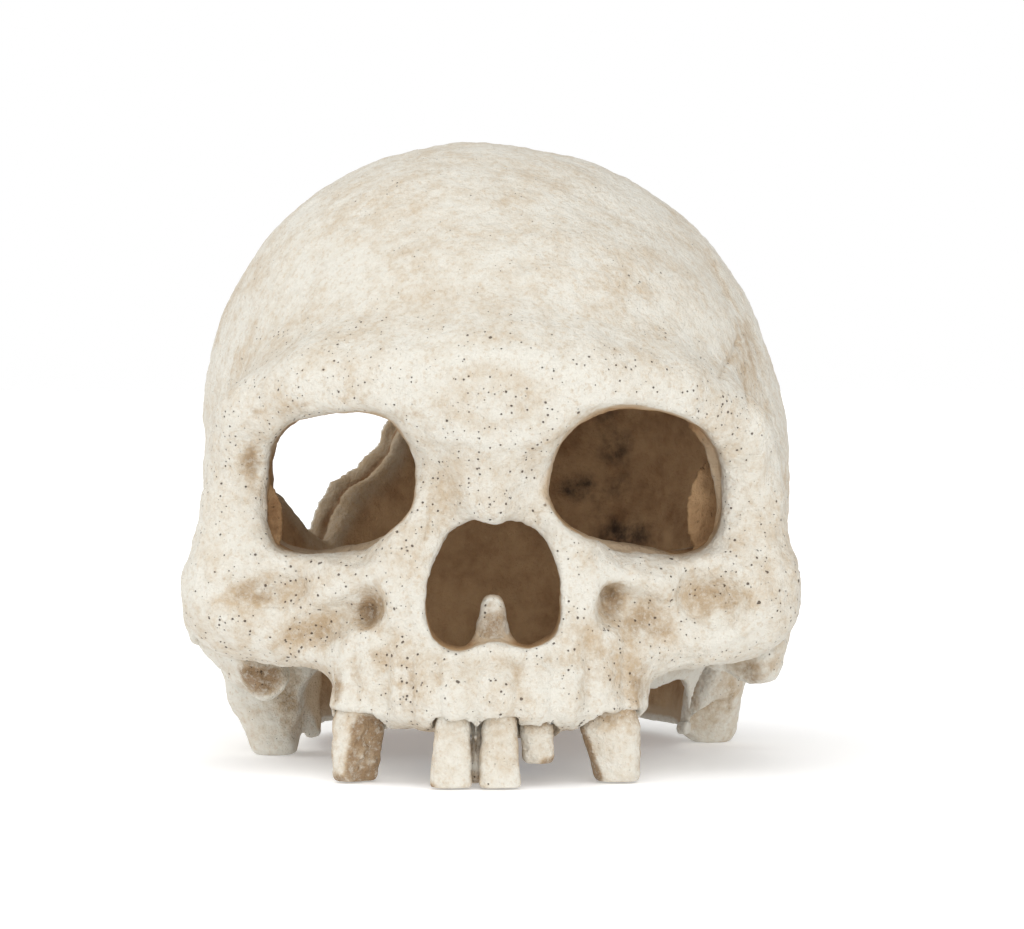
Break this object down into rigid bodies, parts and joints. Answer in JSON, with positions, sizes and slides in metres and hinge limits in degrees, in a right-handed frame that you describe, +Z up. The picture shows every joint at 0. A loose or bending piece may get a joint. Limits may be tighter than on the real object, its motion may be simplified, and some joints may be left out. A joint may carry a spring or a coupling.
{
  "type": "aquarium skull ornament",
  "caption": "Hollow cast skull for a fish tank, open below and broken at one side, with an air stone and inlet hidden inside so bubbles leave by its eyes and nose.",
  "frame": {"origin": "middle of the bounding box, at table level", "axes": "+Z up, the face looks along -Y, the skull's own right side is at -X"},
  "size_m": [0.136, 0.1558, 0.1387],
  "materials": {
    "resin": "chalky, washed with brown",
    "tooth_resin": "chalky, washed with brown",
    "stone": "porous",
    "plastic": "moulded",
    "silicone": "smooth",
    "rubber": "matt"
  },
  "bodies": {
    "cast": {"skull_shell": "resin", "right_incisor": "tooth_resin", "left_incisor": "tooth_resin", "left_side_incisor": "tooth_resin", "right_broken_molar": "tooth_resin", "left_broken_molar": "tooth_resin", "stone_cup": "plastic", "air_stone": "stone", "stone_nipple": "plastic", "air_tube": "silicone", "inlet_grommet": "rubber"},
    "elbow": {"inlet_elbow": "plastic"}
  },
  "joints": [
    {"name": "elbow_swivel", "type": "hinge", "parent": "cast", "child": "elbow", "pos_m": [-0.0002, 0.0738, 0.0155], "axis": [0, 1, 0], "range_deg": [-35, 90]}
  ]
}
